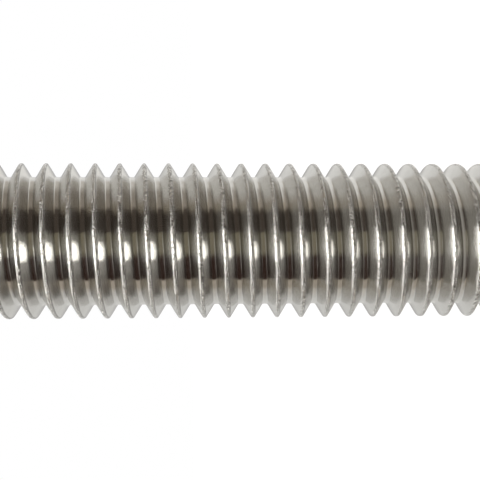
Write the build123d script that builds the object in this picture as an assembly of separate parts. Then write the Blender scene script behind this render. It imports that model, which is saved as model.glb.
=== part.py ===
from build123d import *
import os
from math import ceil, radians, sqrt, tan

# Hexagon socket set screw with a flat point, M8 coarse thread, right-hand, stainless steel.
# It stands on its point with the socket up: the axis is Z and the origin is the middle of the point.

# Driving dimensions
THREAD_DIAMETER = 8.0
PITCH = 1.25
LENGTH = 30.0
POINT_DIAMETER = 5.5
KEY_ACROSS_FLATS = 4.05
KEY_DEPTH = 5.0

# Angles: the thread's V, the chamfers off the end faces and the point of the socket's punch
THREAD_ANGLE = 60
CHAMFER_ANGLE = 45
PUNCH_ANGLE = 120

# Thread: a basic metric profile, cut from the sharp triangle of its pitch
DEPTH_SHARE = 5 / 8
CREST_FLAT_SHARE = 1 / 8
CREST_RADIUS = THREAD_DIAMETER / 2
TRIANGLE_HEIGHT = PITCH * sqrt(3) / 2
ROOT_RADIUS = CREST_RADIUS - DEPTH_SHARE * TRIANGLE_HEIGHT
FLANK_RADIUS = (CREST_RADIUS + ROOT_RADIUS) / 2
FLANK_FROM_CREST = (
    CREST_FLAT_SHARE * PITCH / 2 + (CREST_RADIUS - FLANK_RADIUS) * tan(radians(THREAD_ANGLE / 2))
)

# Ends: both chamfers run out below the thread's root
POINT_RADIUS = POINT_DIAMETER / 2
SOCKET_END_RADIUS = ROOT_RADIUS - PITCH / 8
CHAMFER_RISE = tan(radians(CHAMFER_ANGLE))

# Socket: six flats with a shallow six-sided point at the bottom, as the punch leaves it
KEY_RADIUS = KEY_ACROSS_FLATS / 2
PUNCH_POINT_DEPTH = KEY_RADIUS / tan(radians(PUNCH_ANGLE / 2))


def thread_profile(lift):
    """Radius and height of the thread's outline over one pitch, from root to root, above lift."""
    crest_height = lift + PITCH / 2
    return [
        (ROOT_RADIUS, lift),
        (FLANK_RADIUS, crest_height - FLANK_FROM_CREST),
        (CREST_RADIUS, crest_height),
        (FLANK_RADIUS, crest_height + FLANK_FROM_CREST),
        (ROOT_RADIUS, lift + PITCH),
    ]


def helix_turn(radius, lift):
    """One right-hand turn of a helix on the given radius, from the height lift up."""
    return Pos(0, 0, lift) * Edge.make_helix(pitch=PITCH, height=PITCH, radius=radius)


def thread_turn(lift):
    """The helical faces of one turn, each between two neighbours of the profile."""
    edges = [helix_turn(radius, height) for radius, height in thread_profile(lift)]
    return [Face.make_surface_from_curves(low, high) for low, high in zip(edges, edges[1:])]


def thread_end(lift):
    """The ramp and the flat face that close the thread where its turns begin or end, at lift."""
    axis = Edge.make_line((0, 0, lift), (0, 0, lift + PITCH))
    ramp = Face.make_surface_from_curves(axis, helix_turn(ROOT_RADIUS, lift))
    outline = [(radius, 0, height) for radius, height in thread_profile(lift)]
    outline = [(0, 0, lift), *outline, (0, 0, lift + PITCH)]
    return [ramp, Face(Wire.make_polygon(outline))]


def threaded_rod(start, turns):
    """A threaded rod of whole turns, from the height start up."""
    faces = []
    for turn in range(turns):
        faces += thread_turn(start + turn * PITCH)
    faces += thread_end(start)
    faces += thread_end(start + turns * PITCH)
    return Solid(Shell(faces))


def chamfered_envelope():
    """The flat ends and their chamfers, as one turned shape that is wider than the thread between them."""
    radius = CREST_RADIUS + PITCH
    outline = Polyline(
        (0, 0),
        (POINT_RADIUS, 0),
        (radius, (radius - POINT_RADIUS) * CHAMFER_RISE),
        (radius, LENGTH - (radius - SOCKET_END_RADIUS) * CHAMFER_RISE),
        (SOCKET_END_RADIUS, LENGTH),
        (0, LENGTH),
        close=True,
    )
    return revolve(Plane.XZ * make_face(outline), Axis.Z)


def key_socket():
    """The hollow that the hexagon key goes into, open at the top end."""
    hexagon = RegularPolygon(KEY_RADIUS, 6, major_radius=False)
    floor = LENGTH - KEY_DEPTH
    flats = Pos(0, 0, floor) * extrude(hexagon, KEY_DEPTH)
    rim = Pos(0, 0, floor) * hexagon
    point = Solid.make_loft([rim.wire(), Vertex(0, 0, floor - PUNCH_POINT_DEPTH)], ruled=True)
    return flats + point


turns_past_end = 2
rod = threaded_rod(-turns_past_end * PITCH, ceil(LENGTH / PITCH) + 2 * turns_past_end)
set_screw = (rod & chamfered_envelope()) - key_socket()
set_screw.label = "set_screw"

os.makedirs("parts", exist_ok=True)
export_step(set_screw, "parts/set_screw.step")
box = set_screw.bounding_box()
print("set_screw", set_screw.is_valid, len(set_screw.solids()), round(set_screw.volume, 2), box.min, box.max)
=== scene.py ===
"""Hexagon socket set screw, M8 x 1.25 by 30 mm, stainless steel, in a small light tent.

The screw stands on its flat point with the socket up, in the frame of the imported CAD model.  Lengths are
written in millimetres and turned to metres where a mesh or an object is made.
"""

import logging
import math
from dataclasses import dataclass, field
from enum import Enum
from typing import Any, ClassVar, Optional, Sequence

import bmesh
import bpy
import numpy as np
from mathutils import Matrix, Vector


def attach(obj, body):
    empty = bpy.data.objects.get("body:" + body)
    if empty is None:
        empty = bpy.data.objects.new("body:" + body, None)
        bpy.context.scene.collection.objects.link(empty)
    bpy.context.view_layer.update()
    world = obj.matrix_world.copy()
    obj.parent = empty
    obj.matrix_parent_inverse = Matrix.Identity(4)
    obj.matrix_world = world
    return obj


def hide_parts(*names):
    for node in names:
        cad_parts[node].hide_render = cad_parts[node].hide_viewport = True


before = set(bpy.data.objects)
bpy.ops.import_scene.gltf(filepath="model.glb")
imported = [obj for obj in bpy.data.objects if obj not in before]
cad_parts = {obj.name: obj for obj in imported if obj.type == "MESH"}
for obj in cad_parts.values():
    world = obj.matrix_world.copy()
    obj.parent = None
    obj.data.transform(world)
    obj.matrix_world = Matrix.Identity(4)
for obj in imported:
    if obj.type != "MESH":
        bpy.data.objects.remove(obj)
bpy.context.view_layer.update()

MM = 0.001
TOLERANCE = 1e-6
QUARTER_TURN = 0.25
LOG = logging.getLogger("set_screw")


class Skin(Enum):
    """The three ways in which a surface of the screw was made, in the order of its material slots."""

    ROLLED = 0
    TURNED = 1
    PUNCHED = 2


def linear(hex_colour: str) -> tuple[float, float, float, float]:
    """Turns an sRGB colour to the linear values that Blender's sockets take.

    Args:
        hex_colour: The colour as #RRGGBB.

    Returns:
        Red, green, blue and an alpha of one.
    """
    parts = [int(hex_colour[i : i + 2], 16) / 255 for i in (1, 3, 5)]
    red, green, blue = (c / 12.92 if c <= 0.04045 else ((c + 0.055) / 1.055) ** 2.4 for c in parts)
    return red, green, blue, 1.0


def add_object(name: str, data: bpy.types.ID) -> bpy.types.Object:
    """Adds an object to the scene.

    Args:
        name: Name of the object.
        data: Its mesh, light or camera.

    Returns:
        The new object.
    """
    made = bpy.data.objects.new(name, data)
    bpy.context.scene.collection.objects.link(made)
    return made


def empty_tree(owner: bpy.types.Material | bpy.types.World) -> bpy.types.NodeTree:
    """Gives a material or the world nodes of its own.

    Args:
        owner: The material or world.

    Returns:
        Its node tree, with nothing in it.
    """
    owner.use_nodes = True
    owner.node_tree.nodes.clear()
    return owner.node_tree


def add_node(
    tree: bpy.types.NodeTree,
    kind: str,
    settings: Optional[dict[str, Any]] = None,
    inputs: Optional[dict[Any, Any]] = None,
) -> bpy.types.Node:
    """Adds a node with its settings and links.

    Args:
        tree: The node tree that gets the node.
        kind: The node's type, without the words ShaderNode.
        settings: Properties of the node by name.
        inputs: What each input takes, by name or number: another node's output, or a plain value.

    Returns:
        The new node.
    """
    node = tree.nodes.new("ShaderNode" + kind)
    for name, value in (settings or {}).items():
        setattr(node, name, value)
    for name, value in (inputs or {}).items():
        if isinstance(value, bpy.types.NodeSocket):
            tree.links.new(value, node.inputs[name])
        else:
            node.inputs[name].default_value = value
    return node


def from_axis(tree: bpy.types.NodeTree, place: bpy.types.NodeSocket) -> bpy.types.NodeSocket:
    """Measures how far a place is from the screw's axis.

    Args:
        tree: The node tree that gets the nodes.
        place: The place, in metres.

    Returns:
        The distance, in metres.
    """
    parts = add_node(tree, "SeparateXYZ", inputs={0: place}).outputs
    flat = add_node(tree, "CombineXYZ", inputs={0: parts[0], 1: parts[1]})
    return add_node(tree, "VectorMath", {"operation": "LENGTH"}, {0: flat.outputs[0]}).outputs["Value"]


def sees_background(tree: bpy.types.NodeTree) -> bpy.types.NodeSocket:
    """Tells rays that show the background, straight or in metal or glass, from rays that light a surface.

    Args:
        tree: The node tree that gets the nodes.

    Returns:
        One for the rays that show it and zero for the rest.
    """
    paths = add_node(tree, "LightPath").outputs
    seen = paths["Is Camera Ray"]
    for ray in ("Is Glossy Ray", "Is Transmission Ray"):
        seen = add_node(tree, "Math", {"operation": "MAXIMUM"}, {0: seen, 1: paths[ray]}).outputs[0]
    return seen


@dataclass(frozen=True)
class SteelFinish:
    """Stainless steel with one kind of surface, as a material.

    Attributes:
        name: Name of the material.
        colour: Colour of the metal, sRGB.
        roughness: How much the surface blurs what it mirrors.
        grain: How much more it blurs across the marks than along them, from zero to one.
        streak_mm: Width of the fine marks that the tool left.
        streak_depth_mm: Depth of those marks.
        ripple_mm: Size of the soft waves under the marks.
        ripple_depth_mm: Height of those waves.
        streak_length_mm: Length of the marks along the turn.
        faintest: Share of the colour that is left where it drifts most.
    """

    name: str
    colour: str
    roughness: float
    grain: float
    streak_mm: float
    streak_depth_mm: float
    ripple_mm: float
    ripple_depth_mm: float
    streak_length_mm: ClassVar[float] = 1.1
    faintest: ClassVar[float] = 0.96

    def wear(
        self,
        tree: bpy.types.NodeTree,
        place: bpy.types.NodeSocket,
        radius: bpy.types.NodeSocket,
        tone: bpy.types.NodeSocket,
        relief: bpy.types.NodeSocket,
    ) -> tuple[bpy.types.NodeSocket, Any, bpy.types.NodeSocket]:
        """Gives the look of a surface that is the same all over.

        Args:
            tree: The material's nodes.
            place: Where the surface is, in metres.
            radius: Distance from the screw's axis, in metres.
            tone: The metal's colour.
            relief: The normal with the marks and waves in it.

        Returns:
            The colour, the roughness, as a value or an output, and the finished normal.
        """
        return tone, self.roughness, relief

    def material(self) -> bpy.types.Material:
        """Makes the material with its nodes.

        Returns:
            The new material.
        """
        made = bpy.data.materials.new(self.name)
        tree = empty_tree(made)
        place = add_node(tree, "TexCoord").outputs["Object"]
        radius = from_axis(tree, place)

        # Marks along the turns: fine across the radius, drawn out along the turn
        along = add_node(
            tree, "VectorMath", {"operation": "SCALE"}, {0: place, "Scale": 1 / (self.streak_length_mm * MM)}
        )
        across = add_node(tree, "Math", {"operation": "MULTIPLY"}, {0: radius, 1: 1 / (self.streak_mm * MM)})
        streaks = add_node(
            tree,
            "TexNoise",
            {"noise_dimensions": "4D"},
            {
                "Vector": along.outputs[0],
                "W": across.outputs[0],
                "Scale": 1.0,
                "Detail": 2.0,
                "Roughness": 0.6,
            },
        )
        ripples = add_node(
            tree, "TexNoise", inputs={"Vector": place, "Scale": 1 / (self.ripple_mm * MM), "Detail": 1.0}
        )

        # Colour: a faint drift from place to place
        shade = add_node(
            tree,
            "MapRange",
            inputs={
                "Value": ripples.outputs[0],
                "From Min": 0.3,
                "From Max": 0.7,
                "To Min": self.faintest,
                "To Max": 1.0,
            },
        )
        tone = add_node(
            tree,
            "VectorMath",
            {"operation": "SCALE"},
            {0: linear(self.colour)[:3], "Scale": shade.outputs[0]},
        ).outputs[0]

        # Relief: waves, then marks, then what wear adds
        relief = add_node(
            tree, "Bump", inputs={"Height": ripples.outputs[0], "Distance": self.ripple_depth_mm * MM}
        ).outputs[0]
        relief = add_node(
            tree,
            "Bump",
            inputs={"Height": streaks.outputs[0], "Distance": self.streak_depth_mm * MM, "Normal": relief},
        ).outputs[0]
        tone, rough, relief = self.wear(tree, place, radius, tone, relief)

        # Grain: the marks run along the turns, so they blur across the turns and not along them
        turn = add_node(tree, "Tangent", {"direction_type": "RADIAL", "axis": "Z"}).outputs[0]
        steel = add_node(
            tree,
            "BsdfPrincipled",
            inputs={
                "Metallic": 1.0,
                "Base Color": tone,
                "Roughness": rough,
                "Normal": relief,
                "Anisotropic": self.grain,
                "Anisotropic Rotation": QUARTER_TURN,
                "Tangent": turn,
            },
        )
        add_node(tree, "OutputMaterial", inputs={"Surface": steel.outputs[0]})
        return made


@dataclass(frozen=True)
class RolledFinish(SteelFinish):
    """Rolled thread: bright flanks, and a crest that is rough, dented and nicked where the metal met.

    Attributes:
        crest_begins: Radius in millimetres at which the flank's roughness ends.
        crest_rough: Radius in millimetres and roughness there, from the crest's side outwards.
        dent_mm: Size of the dents and nicks.
        dent_begins: Radius in millimetres at which the dents begin.
        dent_depth_mm: Depth of the soft dents on the shoulder of the flank.
        nick_begins: Radius in millimetres at which the nicks begin.
        nick_depth_mm: Depth of the nicks on the crest.
        nick_noise: Levels of the noise between which a nick goes from none to its full depth.
        nick_painted_shade: How much painted shade darkens a nick, from zero to one.
        painted_shade_radius: Radius in millimetres of the painted shade, a dark line under the crest's lower
            edge.
        painted_shade_mm: Width of the painted shade line.
        painted_shade_facing: Upward part of the normal at which the painted shade begins, and where it is
            full.
        painted_shade_noise: Levels of the noise between which the painted shade goes from weak to strong.
        painted_shade_levels: How dark the painted shade is where it is weak and where it is strong.
        darkest_painted_shade: Share of the colour that is left where the painted shade is darkest.
    """

    crest_begins: float
    crest_rough: tuple[tuple[float, float], ...]
    dent_mm: float
    dent_begins: float
    dent_depth_mm: float
    nick_begins: float
    nick_depth_mm: float
    nick_noise: tuple[float, float]
    nick_painted_shade: float
    painted_shade_radius: float
    painted_shade_mm: float
    painted_shade_facing: tuple[float, float]
    painted_shade_noise: tuple[float, float]
    painted_shade_levels: tuple[float, float]
    darkest_painted_shade: float

    def wear(
        self,
        tree: bpy.types.NodeTree,
        place: bpy.types.NodeSocket,
        radius: bpy.types.NodeSocket,
        tone: bpy.types.NodeSocket,
        relief: bpy.types.NodeSocket,
    ) -> tuple[bpy.types.NodeSocket, Any, bpy.types.NodeSocket]:
        """Adds the worn crest, with painted shade under it and in its nicks.

        Args:
            tree: The material's nodes.
            place: Where the surface is, in metres.
            radius: Distance from the screw's axis, in metres.
            tone: The metal's colour.
            relief: The normal with the marks and waves in it.

        Returns:
            The colour with painted shade in it, the roughness by radius, and the normal with dents and
            nicks.
        """
        # Roughness: even up to the crest, and more on it
        inner, (outer, roughest) = self.crest_begins, self.crest_rough[-1]
        share = add_node(
            tree, "MapRange", inputs={"Value": radius, "From Min": inner * MM, "From Max": outer * MM}
        )
        ramp = add_node(tree, "ValToRGB", inputs={0: share.outputs[0]})
        stops = ramp.color_ramp.elements
        for stop, value in zip(stops, (self.roughness, roughest)):
            stop.color = (value, value, value, 1.0)
        for at, value in self.crest_rough[:-1]:
            stops.new((at - inner) / (outer - inner)).color = (value, value, value, 1.0)

        # Dents and nicks: soft ones on the shoulder of the flank, then deep ones on the crest
        noise = add_node(
            tree, "TexNoise", inputs={"Vector": place, "Scale": 1 / (self.dent_mm * MM), "Detail": 3.0}
        ).outputs[0]
        low, high = self.nick_noise
        bites = add_node(
            tree, "MapRange", inputs={"Value": noise, "From Min": low, "From Max": high}
        ).outputs[0]
        dents = (noise, self.dent_begins, self.dent_depth_mm)
        nicks = (bites, self.nick_begins, self.nick_depth_mm)
        for height, begins, depth in (dents, nicks):
            worn = add_node(
                tree,
                "MapRange",
                {"interpolation_type": "SMOOTHSTEP"},
                {"Value": radius, "From Min": begins * MM, "From Max": outer * MM},
            )
            sunk = add_node(tree, "Math", {"operation": "MULTIPLY"}, {0: height, 1: worn.outputs[0]})
            relief = add_node(
                tree,
                "Bump",
                {"invert": True},
                {"Height": sunk.outputs[0], "Distance": depth * MM, "Normal": relief},
            ).outputs[0]

        # Painted shade: a dark line on the side of the crest that looks down, and darker spots where the
        # nicks are
        facing = add_node(tree, "SeparateXYZ", inputs={0: add_node(tree, "NewGeometry").outputs["Normal"]})
        low, high = self.painted_shade_facing
        lower = add_node(
            tree, "MapRange", inputs={"Value": facing.outputs[2], "From Min": low, "From Max": high}
        )
        off = add_node(tree, "Math", {"operation": "SUBTRACT"}, {0: radius, 1: self.painted_shade_radius * MM})
        off = add_node(tree, "Math", {"operation": "ABSOLUTE"}, {0: off.outputs[0]})
        line = add_node(
            tree,
            "MapRange",
            inputs={
                "Value": off.outputs[0],
                "From Min": self.painted_shade_mm * MM / 2,
                "From Max": self.painted_shade_mm * MM / 4,
            },
        )
        painted_shade_line = add_node(tree, "Math", {"operation": "MULTIPLY"}, {0: lower.outputs[0], 1: line.outputs[0]})
        painted_shade_strength = add_node(
            tree,
            "MapRange",
            inputs={
                "Value": noise,
                "From Min": self.painted_shade_noise[0],
                "From Max": self.painted_shade_noise[1],
                "To Min": self.painted_shade_levels[0],
                "To Max": self.painted_shade_levels[1],
            },
        )
        painted_shade_line = add_node(tree, "Math", {"operation": "MULTIPLY"}, {0: painted_shade_line.outputs[0], 1: painted_shade_strength.outputs[0]})
        # Painted shade in the nicks: their colour is darkened with their depth
        dark = add_node(tree, "Math", {"operation": "MULTIPLY"}, {0: sunk.outputs[0], 1: self.nick_painted_shade})
        dark = add_node(tree, "Math", {"operation": "MAXIMUM"}, {0: painted_shade_line.outputs[0], 1: dark.outputs[0]})
        left = add_node(
            tree, "MapRange", inputs={"Value": dark.outputs[0], "To Min": 1.0, "To Max": self.darkest_painted_shade}
        )
        tone = add_node(tree, "VectorMath", {"operation": "SCALE"}, {0: tone, "Scale": left.outputs[0]})
        return tone.outputs[0], ramp.outputs[0], relief


# Stainless steel, thread rolled between dies: the flanks mirror sharply, with fine marks along the turns,
# and the crest, where the metal met, is rough with small nicks that glint.  Real marks are finer than these,
# which are drawn as wide as the picture can show.
ROLLED_STEEL = RolledFinish(
    name="stainless_steel_rolled",
    colour="#D3D2CF",
    roughness=0.18,
    grain=1.0,
    streak_mm=0.06,
    streak_depth_mm=0.0005,
    ripple_mm=0.35,
    ripple_depth_mm=0.0014,
    crest_begins=3.90,
    crest_rough=((3.95, 0.22), (3.99, 0.24)),
    dent_mm=0.11,
    dent_begins=3.70,
    dent_depth_mm=0.006,
    nick_begins=3.89,
    nick_depth_mm=0.028,
    nick_noise=(0.48, 0.6),
    # Painted shade in the nicks
    nick_painted_shade=0.45,
    # Painted shade: a dark line below the crest, on the side that looks down
    painted_shade_radius=3.952,
    painted_shade_mm=0.08,
    painted_shade_facing=(-0.2, -0.5),
    painted_shade_noise=(0.35, 0.6),
    painted_shade_levels=(0.2, 0.6),
    darkest_painted_shade=0.15,
)

# Stainless steel, turned on the lathe: the end faces and chamfers show fine rings round the axis.
TURNED_STEEL = SteelFinish(
    name="stainless_steel_turned",
    colour="#D6D3CD",
    roughness=0.16,
    grain=0.6,
    streak_mm=0.045,
    streak_depth_mm=0.0012,
    ripple_mm=0.5,
    ripple_depth_mm=0.001,
)

# Stainless steel, socket pressed with a punch: duller than the thread, with soft waves where the metal
# flowed.
PUNCHED_STEEL = SteelFinish(
    name="stainless_steel_punched",
    colour="#CFCAC2",
    roughness=0.24,
    grain=0.0,
    streak_mm=0.06,
    streak_depth_mm=0.001,
    ripple_mm=0.4,
    ripple_depth_mm=0.002,
)


@dataclass
class ThreadForm:
    """Rolled metric thread: a narrow rounded crest, flanks that ease over below it and a narrow soft root.

    Attributes:
        crest_radius: Radius of the crest.
        root_bottom: Radius of the root.
        pitch: Height of one turn.
        flank_lean: Degrees between the straight flank and the radius.
        shoulder_lean: Degrees between the flank and the radius where it meets the crest.
        shoulder: Height over which the flank eases from the one to the other.
        crest_flat: Height of the crest before its edges are rounded.
        crest_edge: Radius of the crest's upper edge.
        lap_edge: Radius of the crest's lower edge, which the rolling closed more tightly.
        root_corner: Radius of the root's corners.
        root_steps: Rows of points on each corner of the root.
        crest_steps: Rows of points on each edge of the crest.
        guard: Height between the end of a rounding and the next row, which keeps its shading off the flank.
    """

    crest_radius: float = 3.998
    root_bottom: float = 3.29
    pitch: float = 1.25
    flank_lean: float = 31.0
    shoulder_lean: float = 34.0
    shoulder: float = 0.24
    crest_flat: float = 0.13
    crest_edge: float = 0.11
    lap_edge: float = 0.05
    root_corner: float = 0.1
    root_steps: int = 5
    crest_steps: int = 4
    guard: float = 0.012

    @property
    def rises(self) -> tuple[float, float]:
        """Gain in radius over height, on the straight flank and where it meets the crest."""
        return 1 / math.tan(math.radians(self.flank_lean)), 1 / math.tan(math.radians(self.shoulder_lean))

    @property
    def root_flat(self) -> float:
        """Height of the root before its corners are rounded."""
        steep, eased = self.rises
        straight = self.crest_radius - self.root_bottom - self.shoulder * (steep + eased) / 2
        return self.pitch - self.crest_flat - 2 * (self.shoulder + straight / steep)

    def lift(self, azimuth: np.ndarray) -> np.ndarray:
        """Height that the thread gains up to each azimuth, in radians."""
        return self.pitch * azimuth / (2 * math.pi)

    def crest_middle(self, edge: float | np.ndarray) -> float | np.ndarray:
        """Half of the crest's flat less the edge's share, for one edge radius or an array of them."""
        return self.crest_flat / 2 - edge * math.tan(math.radians(90 - self.shoulder_lean) / 2)

    @property
    def root_middle(self) -> float:
        """Half of the flat that is left between the root's rounded corners."""
        return self.root_flat / 2 - self.root_corner * math.tan(math.radians(90 - self.flank_lean) / 2)

    def radius(self, height: np.ndarray) -> np.ndarray:
        """Gives the thread's radius over a height that is measured from the middle of a root.

        Args:
            height: Heights at azimuth zero, in millimetres.

        Returns:
            The radius at each height.
        """
        above = (height % self.pitch) - self.pitch / 2
        from_crest = np.abs(above)
        from_root = self.pitch / 2 - from_crest
        steep, eased = self.rises
        down = from_crest - self.crest_flat / 2
        near = np.clip(down, None, self.shoulder)
        drop = eased * near + (steep - eased) * np.clip(near, 0, None) ** 2 / (2 * self.shoulder)
        flank = self.crest_radius - drop - steep * (down - near)

        edge = np.where(above > 0, self.crest_edge, self.lap_edge)
        middle = self.crest_middle(edge)
        reach = edge * math.cos(math.radians(self.shoulder_lean))
        off = np.clip(from_crest - middle, 0, reach)
        crest = self.crest_radius - edge + np.sqrt(edge**2 - off**2)
        on_crest = from_crest < middle + reach

        reach = self.root_corner * math.cos(math.radians(self.flank_lean))
        off = np.clip(from_root - self.root_middle, 0, reach)
        root = self.root_bottom + self.root_corner - np.sqrt(self.root_corner**2 - off**2)
        in_root = from_root < self.root_middle + reach
        return np.where(on_crest, crest, np.where(in_root, root, flank))

    def half_rows(self, edge: float) -> np.ndarray:
        """Gives the rows of points from the middle of a root to the middle of a crest.

        Args:
            edge: Radius of the crest's edge on this side.

        Returns:
            The heights in order, from zero to half a pitch.
        """
        turn = np.sin(np.linspace(0, math.radians(90 - self.flank_lean), self.root_steps))
        root = self.root_middle + self.root_corner * turn
        turn = np.sin(np.linspace(0, math.radians(90 - self.shoulder_lean), self.crest_steps))
        crest = self.pitch / 2 - self.crest_middle(edge) - edge * turn[::-1]
        first, last = root[-1] + self.guard, crest[0] - self.guard
        eases = self.pitch / 2 - self.crest_flat / 2 - self.shoulder
        flank = [first, eases, (2 * eases + crest[0]) / 3, (eases + 2 * crest[0]) / 3, last]
        return np.concatenate([[0.0], root, flank, crest, [self.pitch / 2]])

    def rows(self) -> np.ndarray:
        """Heights over one pitch at which the plain part of the thread has its rows of points."""
        lower, upper = self.half_rows(self.lap_edge), self.half_rows(self.crest_edge)
        return np.concatenate([lower[:-1], self.pitch - upper[:0:-1]])


@dataclass
class SetScrew:
    """The whole screw: threaded shank, flat point and hexagon socket, as one closed mesh.

    Attributes:
        thread: The form of its thread.
        length: Height from the point to the socket's end face.
        point_radius: Radius at which the point's face meets its chamfer.
        socket_end_radius: Radius at which the socket's end face meets its chamfer.
        chamfer_angle: Degrees that both chamfers fall away, the angle that envelope() is written for.
        end_round: Radius of the soft edge between an end face and its chamfer.
        edge_steps: Rings of points on that edge.
        cut_edge: Softness of the edge where a chamfer cuts the thread.
        end_clearance: Height by which the finer rows go past a chamfer.
        point_rings: Radius of each ring of points on the point's face.
        key_across_flats: Width of the socket between two flats.
        key_depth: Depth of the flats.
        wall_rows: Rows of faces on the flats.
        punch_angle: Degrees between opposite sides of the point at the socket's bottom.
        mouth_radius: Radius of the countersunk mouth.
        mouth_slope: Drop of the mouth over its width.
        mouth_edge: Step out and drop from the mouth's sharp edge, for each ring on its soft edge.
        flats_edge: Step out and drop from the flats' sharp edge, for each ring on their soft edge.
        columns: Columns of points round the axis.
        end_rows_per_pitch: Rows over one pitch where a chamfer cuts the thread.
        weld_gap: Distance under which two points are one.
        sharp_angle: Degrees between two faces above which their edge is drawn sharp.
    """

    thread: ThreadForm = field(default_factory=ThreadForm)
    length: float = 30.0
    point_radius: float = 2.75
    socket_end_radius: float = 3.1672
    chamfer_angle: float = 45.0
    end_round: float = 0.12
    edge_steps: int = 5
    cut_edge: float = 0.06
    end_clearance: float = 0.05
    point_rings: tuple[float, ...] = (2.2, 1.4, 0.6)
    key_across_flats: float = 4.05
    key_depth: float = 5.0
    wall_rows: int = 4
    punch_angle: float = 120.0
    mouth_radius: float = 2.52
    mouth_slope: float = math.tan(math.radians(30))
    mouth_edge: tuple[tuple[float, float], ...] = ((0.03, 0.0), (0.005, 0.004), (-0.025, 0.02))
    flats_edge: tuple[tuple[float, float], ...] = ((0.02, -0.02 * mouth_slope), (0.004, 0.006), (0.0, 0.03))
    columns: int = 96
    end_rows_per_pitch: int = 60
    weld_gap: float = 0.001
    sharp_angle: float = 42.0

    def envelope(self, height: np.ndarray) -> np.ndarray:
        """Radius of the two end chamfers over the height."""
        return np.minimum(self.point_radius + height, self.socket_end_radius + self.length - height)

    def surface(self, azimuth: np.ndarray, height: np.ndarray) -> np.ndarray:
        """Gives the radius of the threaded and chamfered shank.

        Args:
            azimuth: Angles round the axis, in radians.
            height: Heights above the point's face, in millimetres.

        Returns:
            The radius at each place.
        """
        rolled = self.thread.radius(height - self.thread.lift(azimuth))
        cut = self.envelope(height)
        overlap = np.clip(self.cut_edge - np.abs(rolled - cut), 0, None) / self.cut_edge
        return np.minimum(rolled, cut) - overlap**2 * self.cut_edge / 4

    def row_heights(self) -> np.ndarray:
        """Heights at azimuth zero of all rows, closer together at the two ends."""
        pitch = self.thread.pitch
        reach = self.thread.crest_radius + self.end_clearance
        low_end = pitch * math.ceil((reach - self.point_radius) / pitch)
        high_end = pitch * math.floor((self.length - pitch - (reach - self.socket_end_radius)) / pitch)
        fine = np.arange(self.end_rows_per_pitch) * pitch / self.end_rows_per_pitch
        plain = self.thread.rows()
        rows: list[np.ndarray] = []
        start = -pitch
        while start < self.length - TOLERANCE:
            between_ends = low_end - TOLERANCE < start < high_end - TOLERANCE
            rows.append(start + (plain if between_ends else fine))
            start += pitch
        return np.concatenate(rows)

    def end_edge(self) -> tuple[float, np.ndarray, np.ndarray]:
        """Gives the soft edge between an end face and its chamfer.

        Returns:
            The rise from the end face to the edge's start on the chamfer, each ring's step in from the sharp
            edge, and each ring's rise from the end face.
        """
        reach = self.end_round * math.tan(math.radians(self.chamfer_angle / 2))
        turn = np.radians(np.linspace(self.chamfer_angle, 0, self.edge_steps))
        step_in = reach - self.end_round * np.sin(turn)
        rise = self.end_round * (1 - np.cos(turn))
        return float(rise[0]), step_in, rise

    def shank(self, bm: bmesh.types.BMesh) -> None:
        """Adds the threaded shank with its chamfers, open at both ends.

        Args:
            bm: The mesh that gets the faces.
        """
        heights = self.row_heights()
        count = self.columns
        azimuth = np.arange(count + 1) * 2 * math.pi / count
        lift = self.thread.lift(azimuth)
        low = self.end_edge()[0]
        high = self.length - low
        tall = np.clip(heights[:, None] + lift, low, high)
        wide = self.surface(azimuth, tall)
        cut = self.envelope(tall) < self.thread.radius(tall - lift)
        points = np.stack([wide * np.cos(azimuth), wide * np.sin(azimuth), tall], axis=-1) * MM
        verts = [[bm.verts.new(p) for p in row] for row in points]
        for i in range(len(heights) - 1):
            for j in range(count):
                zs = tall[i : i + 2, j : j + 2]
                if zs.min() >= high or zs.max() <= low:
                    continue
                face = bm.faces.new((verts[i][j], verts[i][j + 1], verts[i + 1][j + 1], verts[i + 1][j]))
                turned = cut[i : i + 2, j : j + 2].sum() >= 2
                face.material_index = (Skin.TURNED if turned else Skin.ROLLED).value

    def ring(
        self, bm: bmesh.types.BMesh, radius: float | np.ndarray, height: float | np.ndarray
    ) -> list[bmesh.types.BMVert]:
        """Adds a ring of points round the axis.

        Args:
            bm: The mesh that gets the points.
            radius: Radius at each column, or one for all.
            height: Height at each column, or one for all.

        Returns:
            The points, one to a column.
        """
        azimuth = np.arange(self.columns) * 2 * math.pi / self.columns
        wide = np.broadcast_to(radius, azimuth.shape)
        tall = np.broadcast_to(height, azimuth.shape)
        places = np.stack([wide * np.cos(azimuth), wide * np.sin(azimuth), tall], axis=-1) * MM
        return [bm.verts.new(p) for p in places]

    def skin_between(
        self, bm: bmesh.types.BMesh, rings: Sequence[list[bmesh.types.BMVert]], skin: Skin, upward: bool
    ) -> None:
        """Joins neighbouring rings with faces.

        Args:
            bm: The mesh that gets the faces.
            rings: Rings in order.
            skin: How this surface was made.
            upward: Whether the faces look up, for rings that go inwards.
        """
        count = self.columns
        for outer, inner in zip(rings, rings[1:]):
            for j in range(count):
                k = (j + 1) % count
                corners = (outer[j], outer[k], inner[k], inner[j])
                face = bm.faces.new(corners if upward else corners[::-1])
                face.material_index = skin.value

    def cap(
        self, bm: bmesh.types.BMesh, ring: list[bmesh.types.BMVert], height: float, skin: Skin, upward: bool
    ) -> None:
        """Closes a ring with a fan to a point on the axis.

        Args:
            bm: The mesh that gets the faces.
            ring: The ring to close.
            height: Height of the point on the axis.
            skin: How this surface was made.
            upward: Whether the faces look up.
        """
        tip = bm.verts.new((0, 0, height * MM))
        for j, vert in enumerate(ring):
            after = ring[(j + 1) % len(ring)]
            face = bm.faces.new((vert, after, tip) if upward else (after, vert, tip))
            face.material_index = skin.value

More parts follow.
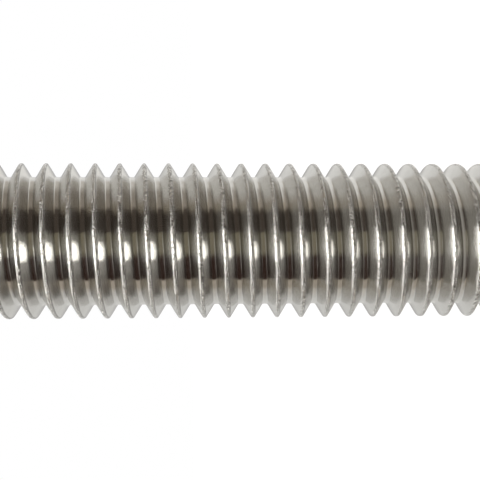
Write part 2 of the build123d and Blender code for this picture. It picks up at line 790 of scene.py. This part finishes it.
    def point_face(self, bm: bmesh.types.BMesh) -> None:
        """Adds the flat point with its soft edge.

        Args:
            bm: The mesh that gets the faces.
        """
        _, step_in, rise = self.end_edge()
        rings = [self.ring(bm, self.point_radius - s, r) for s, r in zip(step_in, rise)]
        rings += [self.ring(bm, radius, 0.0) for radius in self.point_rings]
        self.skin_between(bm, rings, Skin.TURNED, upward=False)
        self.cap(bm, rings[-1], 0.0, Skin.TURNED, upward=False)

    def socket_end(self, bm: bmesh.types.BMesh) -> None:
        """Adds the socket's end face, its countersunk mouth, the six flats and the punched point.

        Args:
            bm: The mesh that gets the faces.
        """
        top = self.length
        _, step_in, rise = self.end_edge()
        face_rings = [self.ring(bm, self.socket_end_radius - s, top - r) for s, r in zip(step_in, rise)]

        # Hexagon: its radius at each column comes from the angle to the middle of the nearest flat
        azimuth = np.degrees(np.arange(self.columns) * 2 * math.pi / self.columns)
        flats = self.key_across_flats / 2 / np.cos(np.radians(azimuth % 60 - 30))
        lead_in = top - (self.mouth_radius - flats) * self.mouth_slope
        mouth_rings = [self.ring(bm, self.mouth_radius + out, top - drop) for out, drop in self.mouth_edge]
        mouth_rings += [self.ring(bm, flats + out, lead_in - drop) for out, drop in self.flats_edge]
        face_rings.append(mouth_rings[0])

        # Walls down to the floor, and half-way down the point that the punch left
        floor = top - self.key_depth
        begin = lead_in - self.flats_edge[-1][1]
        walls = [mouth_rings[-1]]
        for row in range(1, self.wall_rows + 1):
            walls.append(self.ring(bm, flats, begin + (floor - begin) * row / self.wall_rows))
        tip = floor - self.key_across_flats / 2 / math.tan(math.radians(self.punch_angle / 2))
        walls.append(self.ring(bm, flats / 2, (floor + tip) / 2))
        self.skin_between(bm, face_rings, Skin.TURNED, upward=True)
        self.skin_between(bm, mouth_rings, Skin.PUNCHED, upward=True)
        self.skin_between(bm, walls, Skin.PUNCHED, upward=True)
        self.cap(bm, walls[-1], tip, Skin.PUNCHED, upward=True)

    def weld(self, bm: bmesh.types.BMesh) -> None:
        """Joins points that lie in the same place."""
        bmesh.ops.remove_doubles(bm, verts=bm.verts[:], dist=self.weld_gap * MM)

    def close_seams(self, bm: bmesh.types.BMesh) -> None:
        """Closes the seams between finer and plain rows, where each side gets the other's points.

        Args:
            bm: The mesh, welded, with no other open edge.
        """
        seam = [edge for edge in bm.edges if len(edge.link_faces) == 1]
        places = sorted({vert for edge in seam for vert in edge.verts}, key=lambda vert: vert.co.z)
        for edge in seam:
            low, high = sorted(edge.verts, key=lambda vert: vert.co.z)
            for place in [vert for vert in places if low.co.z < vert.co.z < high.co.z]:
                _, low = bmesh.utils.edge_split(edge, low, 0.5)
                low.co = place.co
        self.weld(bm)
        many_sided = [face for face in bm.faces if len(face.verts) > 4]
        bmesh.ops.poke(bm, faces=many_sided)

    def build(self) -> bpy.types.Object:
        """Builds the screw, dresses it and puts it in place of the CAD solid.

        Returns:
            The finished piece.
        """
        bm = bmesh.new()
        self.shank(bm)
        self.point_face(bm)
        self.socket_end(bm)
        self.weld(bm)
        loose = [v for v in bm.verts if not v.link_faces]
        bmesh.ops.delete(bm, geom=loose, context="VERTS")
        self.close_seams(bm)
        mesh = bpy.data.meshes.new("socket_set_screw")
        bm.to_mesh(mesh)
        bm.free()
        mesh.shade_smooth()
        mesh.set_sharp_from_angle(angle=math.radians(self.sharp_angle))
        for finish in (ROLLED_STEEL, TURNED_STEEL, PUNCHED_STEEL):
            mesh.materials.append(finish.material())
        piece = add_object("socket_set_screw", mesh)
        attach(piece, "root")
        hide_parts("set_screw")
        triangles = sum(len(p.vertices) - 2 for p in mesh.polygons)
        LOG.info("%s: %d triangles", piece.name, triangles)
        return piece


@dataclass(frozen=True)
class TentPanel:
    """One panel of the light tent.

    Attributes:
        start: Azimuth in degrees at which the panel begins, from the front towards +X.
        colour: What the panel shows, sRGB.
        soft: Degrees over which it runs into the panel before it.
    """

    start: float
    colour: str
    soft: float


class Along(Enum):
    """What leads from one level of panels to the next."""

    RADIUS = "radius"
    HEIGHT = "height"


@dataclass(frozen=True)
class TentLevel:
    """A ring of panels at one height of the walls, or at one distance on the sheet.

    Attributes:
        begins: Where it starts to show, in millimetres.
        full: Where the level before it has ended, in millimetres.
        panels: Its panels in order of azimuth.
    """

    begins: float
    full: float
    panels: tuple[TentPanel, ...]


@dataclass(frozen=True)
class SoftLamp:
    """A soft lamp turned to the screw's middle.

    Attributes:
        name: Name of the lamp.
        azimuth: Degrees from the front towards +X.
        elevation: Degrees above the floor's plane.
        distance: Millimetres from the screw's middle.
        size: Width and height of the glowing face, in millimetres.
        radiance: Brightness of the glowing face, where a white card is one.
        aim_height: Height of the screw's middle, in millimetres.
        colour: Colour of the light, sRGB.
    """

    name: str
    azimuth: float
    elevation: float
    distance: float
    size: tuple[float, float]
    radiance: float
    aim_height: ClassVar[float] = 15.0
    colour: ClassVar[str] = "#FFFDF8"

    def build(self) -> bpy.types.Object:
        """Hangs the lamp.

        Returns:
            The lamp.
        """
        light = bpy.data.lights.new(self.name, "AREA")
        light.shape = "ELLIPSE"
        light.size, light.size_y = self.size[0] * MM, self.size[1] * MM
        face_area = math.pi / 4 * light.size * light.size_y
        light.energy = self.radiance * math.pi * face_area
        light.color = linear(self.colour)[:3]
        lamp = add_object(self.name, light)
        turn, rise = math.radians(self.azimuth), math.radians(self.elevation)
        away = Vector((math.sin(turn) * math.cos(rise), -math.cos(turn) * math.cos(rise), math.sin(rise)))
        lamp.location = Vector((0, 0, self.aim_height * MM)) + away * self.distance * MM
        lamp.rotation_mode = "QUATERNION"
        lamp.rotation_quaternion = (-away).to_track_quat("-Z", "Y")
        lamp.visible_camera = False

        # The lamps glint in the steel only: the world lights the floor, which keeps the screw's soft shadow
        lamp.visible_diffuse = False
        return lamp


# Panels that most levels of the tent share: the grey and pale back, and the dark front beside the camera
GREY_BACK = TentPanel(164.0, "#BCBBB9", 8.0)
PALE_BACK = (TentPanel(-180.0, "#BCBBB9", 0.0), TentPanel(-164.0, "#E4E3E0", 8.0))
DARK_FRONT = (
    TentPanel(-74.0, "#372823", 1.5),
    TentPanel(-25.0, "#7F7866", 12.0),
    TentPanel(14.6, "#4B433C", 1.5),
)

# The sheet from the screw outwards, and the walls from the floor up
SHEET_LEVELS = (
    TentLevel(
        0.0,
        0.0,
        (
            TentPanel(-180.0, "#DEDCD8", 0.0),
            TentPanel(-110.0, "#D2CFCA", 20.0),
            TentPanel(-78.0, "#A8A39B", 4.0),
            TentPanel(-45.0, "#BAB6AF", 20.0),
            TentPanel(72.0, "#FFFDF9", 56.0),
        ),
    ),
    TentLevel(
        19.0,
        25.0,
        (
            *PALE_BACK,
            TentPanel(-118.0, "#D8D4CC", 24.0),
            TentPanel(-96.0, "#B4AA9B", 10.0),
            *DARK_FRONT,
            TentPanel(56.0, "#B9AE9D", 12.0),
            TentPanel(82.0, "#FFFDF9", 26.0),
            GREY_BACK,
        ),
    ),
)
WALL_LEVELS = (
    TentLevel(
        0.0,
        0.0,
        (
            *PALE_BACK,
            TentPanel(-118.0, "#C4BFB6", 24.0),
            TentPanel(-96.0, "#A99E90", 10.0),
            *DARK_FRONT,
            TentPanel(60.0, "#9E958A", 8.0),
            TentPanel(106.0, "#FFFDF9", 16.0),
            GREY_BACK,
        ),
    ),
    TentLevel(
        14.0,
        20.0,
        (
            *PALE_BACK,
            TentPanel(-98.0, "#C8BEB0", 14.0),
            *DARK_FRONT,
            TentPanel(60.0, "#968D82", 8.0),
            TentPanel(104.0, "#D8D3CB", 24.0),
            TentPanel(136.0, "#F6F5F2", 12.0),
            GREY_BACK,
        ),
    ),
    TentLevel(
        40.0,
        50.0,
        (
            *PALE_BACK,
            TentPanel(-122.0, "#40332C", 8.0),
            TentPanel(-90.0, "#6E6157", 8.0),
            *DARK_FRONT,
            TentPanel(60.0, "#948B80", 8.0),
            TentPanel(104.0, "#BEB7AD", 28.0),
            TentPanel(136.0, "#F1F0ED", 12.0),
            GREY_BACK,
        ),
    ),
    TentLevel(
        76.0,
        90.0,
        (
            TentPanel(-180.0, "#E4E3E0", 0.0),
            TentPanel(-120.0, "#BDB9B2", 30.0),
            TentPanel(-66.0, "#F4F2EC", 24.0),
            TentPanel(6.0, "#4F4843", 28.0),
            TentPanel(64.0, "#948B80", 10.0),
            TentPanel(120.0, "#D6D3CD", 30.0),
        ),
    ),
    TentLevel(
        150.0,
        210.0,
        (
            TentPanel(-180.0, "#FFFDF9", 0.0),
            TentPanel(-114.0, "#9D968E", 24.0),
            TentPanel(-60.0, "#E4E1DA", 24.0),
            TentPanel(8.0, "#5A534D", 40.0),
            TentPanel(70.0, "#8A8278", 20.0),
            TentPanel(120.0, "#CFCCC7", 30.0),
        ),
    ),
)


@dataclass
class LightTent:
    """Soft studio: a tall tent of panels with a darker front, three lamps, a pale floor and a white world.

    Attributes:
        radius: Radius of the walls.
        height: Height of the walls.
        sheet_start: Radius of the hole in the sheet, where the screw stands.
        card_lift: Height of the sheet, and of the walls' lower edge.
        card_columns: Columns of points round the axis in each card.
        floor_half: Half of the floor's width.
        floor_drop: Depth of the floor below the screw's point.
        floor_glow: What the floor shows beside the light that it gets, where white is one.
        world_light: Strength with which the white world lights a surface.
        sheet: Levels of the sheet, from the screw outwards.
        walls: Levels of the walls, from the floor up.
        lamps: The soft lamps.
    """

    radius: float = 115.0
    height: float = 420.0
    sheet_start: float = 4.6
    card_lift: float = 0.1
    card_columns: int = 96
    floor_half: float = 2000.0
    floor_drop: float = 0.02
    floor_glow: float = 0.5
    world_light: float = 0.68
    sheet: tuple[TentLevel, ...] = SHEET_LEVELS
    walls: tuple[TentLevel, ...] = WALL_LEVELS
    lamps: tuple[SoftLamp, ...] = (
        SoftLamp("front_lamp", -26.5, 55.0, 95.0, (43.0, 42.0), 10.0),
        SoftLamp("top_lamp", -44.0, 77.0, 105.0, (90.0, 42.0), 9.0),
        SoftLamp("back_lamp", -122.0, 57.0, 105.0, (60.0, 40.0), 4.0),
    )

    def ring_card(
        self, name: str, outline: Sequence[tuple[float, float]], made: bpy.types.Material
    ) -> bpy.types.Object:
        """Builds a card round the axis, which the screw mirrors and no camera sees.

        Args:
            name: Name of the card.
            outline: Radius and height of its edges and bends, from the inside out.
            made: Its material.

        Returns:
            The card.
        """
        count = self.card_columns
        turn = [2 * math.pi * j / count for j in range(count)]
        mesh = bpy.data.meshes.new(name)
        bm = bmesh.new()
        rings = [
            [bm.verts.new((r * math.cos(t) * MM, r * math.sin(t) * MM, h * MM)) for t in turn]
            for r, h in outline
        ]
        for low, high in zip(rings, rings[1:]):
            for j in range(count):
                k = (j + 1) % count
                bm.faces.new((low[k], low[j], high[j], high[k]))
        bm.to_mesh(mesh)
        bm.free()
        mesh.materials.append(made)
        card = add_object(name, mesh)
        card.visible_camera = False
        card.visible_shadow = False
        return card

    def tent(self) -> list[bpy.types.Object]:
        """Builds the walls, and the sheet that lies on the floor inside them.

        Returns:
            The two cards.
        """
        wall_glow = self.panel_material("tent_walls", Along.HEIGHT, self.walls)
        sheet_glow = self.panel_material("tent_sheet", Along.RADIUS, self.sheet)
        corner = (self.radius, self.card_lift)
        made = [
            self.ring_card("tent_walls", [corner, (self.radius, self.height)], wall_glow),
            self.ring_card("tent_sheet", [(self.sheet_start, self.card_lift), corner], sheet_glow),
        ]
        for card in made:
            card.visible_diffuse = False
        return made

    def panel_material(self, name: str, along: Along, levels: Sequence[TentLevel]) -> bpy.types.Material:
        """Makes the panels' glow, by azimuth from the front and by level.

        Args:
            name: Name of the material.
            along: What leads from one level to the next.
            levels: The levels in order, from the floor up or from the screw outwards.

        Returns:
            The new material.
        """
        made = bpy.data.materials.new(name)
        tree = empty_tree(made)
        place = add_node(tree, "TexCoord").outputs["Object"]
        parts = add_node(tree, "SeparateXYZ", inputs={0: place})
        front = add_node(tree, "Math", {"operation": "MULTIPLY"}, {0: parts.outputs[1], 1: -1.0})
        turn = add_node(tree, "Math", {"operation": "ARCTAN2"}, {0: parts.outputs[0], 1: front.outputs[0]})
        share = add_node(
            tree, "MapRange", inputs={"Value": turn.outputs[0], "From Min": -math.pi, "From Max": math.pi}
        )
        lead = from_axis(tree, place) if along is Along.RADIUS else parts.outputs[2]
        shown = None
        for level in levels:
            ramp = add_node(tree, "ValToRGB", inputs={0: share.outputs[0]})
            stops = ramp.color_ramp.elements
            stops.remove(stops[1])
            stops[0].position = 0.0
            stops[0].color = linear(level.panels[0].colour)
            for before, panel in zip(level.panels, level.panels[1:]):
                for angle, colour in ((-panel.soft / 2, before.colour), (panel.soft / 2, panel.colour)):
                    stops.new((panel.start + angle + 180) / 360).color = linear(colour)
            if shown is None:
                shown = ramp.outputs[0]
                continue
            ends = {"From Min": level.begins * MM, "From Max": level.full * MM}
            reached = add_node(tree, "MapRange", inputs={"Value": lead, **ends})
            shown = add_node(
                tree, "Mix", {"data_type": "RGBA"}, {0: reached.outputs[0], 6: shown, 7: ramp.outputs[0]}
            ).outputs[2]
        glow = add_node(tree, "Emission", inputs={"Color": shown, "Strength": 1.0})
        add_node(tree, "OutputMaterial", inputs={"Surface": glow.outputs[0]})
        return made

    def floor(self) -> bpy.types.Object:
        """Builds the pale floor that the screw stands on.

        Returns:
            The floor.
        """
        half = self.floor_half
        mesh = bpy.data.meshes.new("floor")
        corners = [(-half, -half), (half, -half), (half, half), (-half, half)]
        mesh.from_pydata([(x * MM, y * MM, -self.floor_drop * MM) for x, y in corners], [], [(0, 1, 2, 3)])
        made = bpy.data.materials.new("floor_white_card")
        tree = empty_tree(made)
        seen = sees_background(tree)
        lift = add_node(tree, "Math", {"operation": "MULTIPLY"}, {0: seen, 1: self.floor_glow})
        glow = add_node(tree, "Emission", inputs={"Color": linear("#FFFFFF"), "Strength": lift.outputs[0]})
        card = add_node(tree, "BsdfDiffuse", inputs={"Color": linear("#F4F4F2")})
        both = add_node(tree, "AddShader", inputs={0: card.outputs[0], 1: glow.outputs[0]})
        add_node(tree, "OutputMaterial", inputs={"Surface": both.outputs[0]})
        mesh.materials.append(made)
        floor = add_object("floor", mesh)
        return floor

    def world(self) -> None:
        """Sets the white world behind everything."""
        world = bpy.data.worlds.new("white_studio")
        bpy.context.scene.world = world
        tree = empty_tree(world)
        seen = sees_background(tree)
        level = add_node(tree, "MapRange", inputs={"Value": seen, "To Min": self.world_light, "To Max": 1.0})
        sky = add_node(tree, "Background", inputs={"Color": linear("#FFFFFF"), "Strength": level.outputs[0]})
        add_node(tree, "OutputWorld", inputs={"Surface": sky.outputs[0]})

    def build(self) -> None:
        """Builds the whole studio."""
        for made in (*self.tent(), self.floor(), *(lamp.build() for lamp in self.lamps)):
            LOG.info("stage: %s", made.name)
        self.world()


@dataclass
class Viewpoint:
    """The camera at the photograph's angle: level with the screw's middle, with the screw across the frame.

    Attributes:
        look_at_height: Height on the screw's axis that the camera looks at.
        distance: Distance of the camera from there.
        lens: Focal length, in millimetres.
        sensor: Width of the sensor, in millimetres.
        yaw: Turn of the view along the screw, in radians.
        roll: Turn of the picture, in radians.
        shift: Shift of the picture to the side and up, in widths of the frame.
        clip: Nearest and farthest distance that is drawn, in metres.
    """

    look_at_height: float = 15.5165
    distance: float = 53.44
    lens: float = 76.98
    sensor: float = 36.0
    yaw: float = 0.0569
    roll: float = 0.0031
    shift: tuple[float, float] = (-0.0056, 0.0011)
    clip: tuple[float, float] = (0.001, 20.0)

    def build(self) -> bpy.types.Object:
        """Sets up the camera.

        Returns:
            The camera.
        """
        data = bpy.data.cameras.new("camera")
        data.lens = self.lens
        data.sensor_width = self.sensor
        data.shift_x, data.shift_y = self.shift
        data.clip_start, data.clip_end = self.clip
        camera = add_object("camera", data)
        right = Vector((0.0, -math.sin(self.yaw), -math.cos(self.yaw)))
        back = Vector((0.0, -math.cos(self.yaw), math.sin(self.yaw)))
        up = Vector((1.0, 0.0, 0.0))
        c, s = math.cos(self.roll), math.sin(self.roll)
        right, up = c * right - s * up, s * right + c * up
        place = Vector((0, 0, self.look_at_height * MM)) + back * self.distance * MM
        camera.matrix_world = Matrix.Translation(place) @ Matrix((right, up, back)).transposed().to_4x4()
        bpy.context.scene.camera = camera
        return camera


def main() -> None:
    """Builds the screw, the studio and the camera in order."""
    logging.basicConfig(level=logging.INFO, format="%(message)s")
    bpy.context.scene.view_settings.view_transform = "Standard"
    camera = Viewpoint().build()
    LOG.info("camera: %s", camera.name)
    SetScrew().build()
    LightTent().build()


if __name__ == "__main__":
    main()
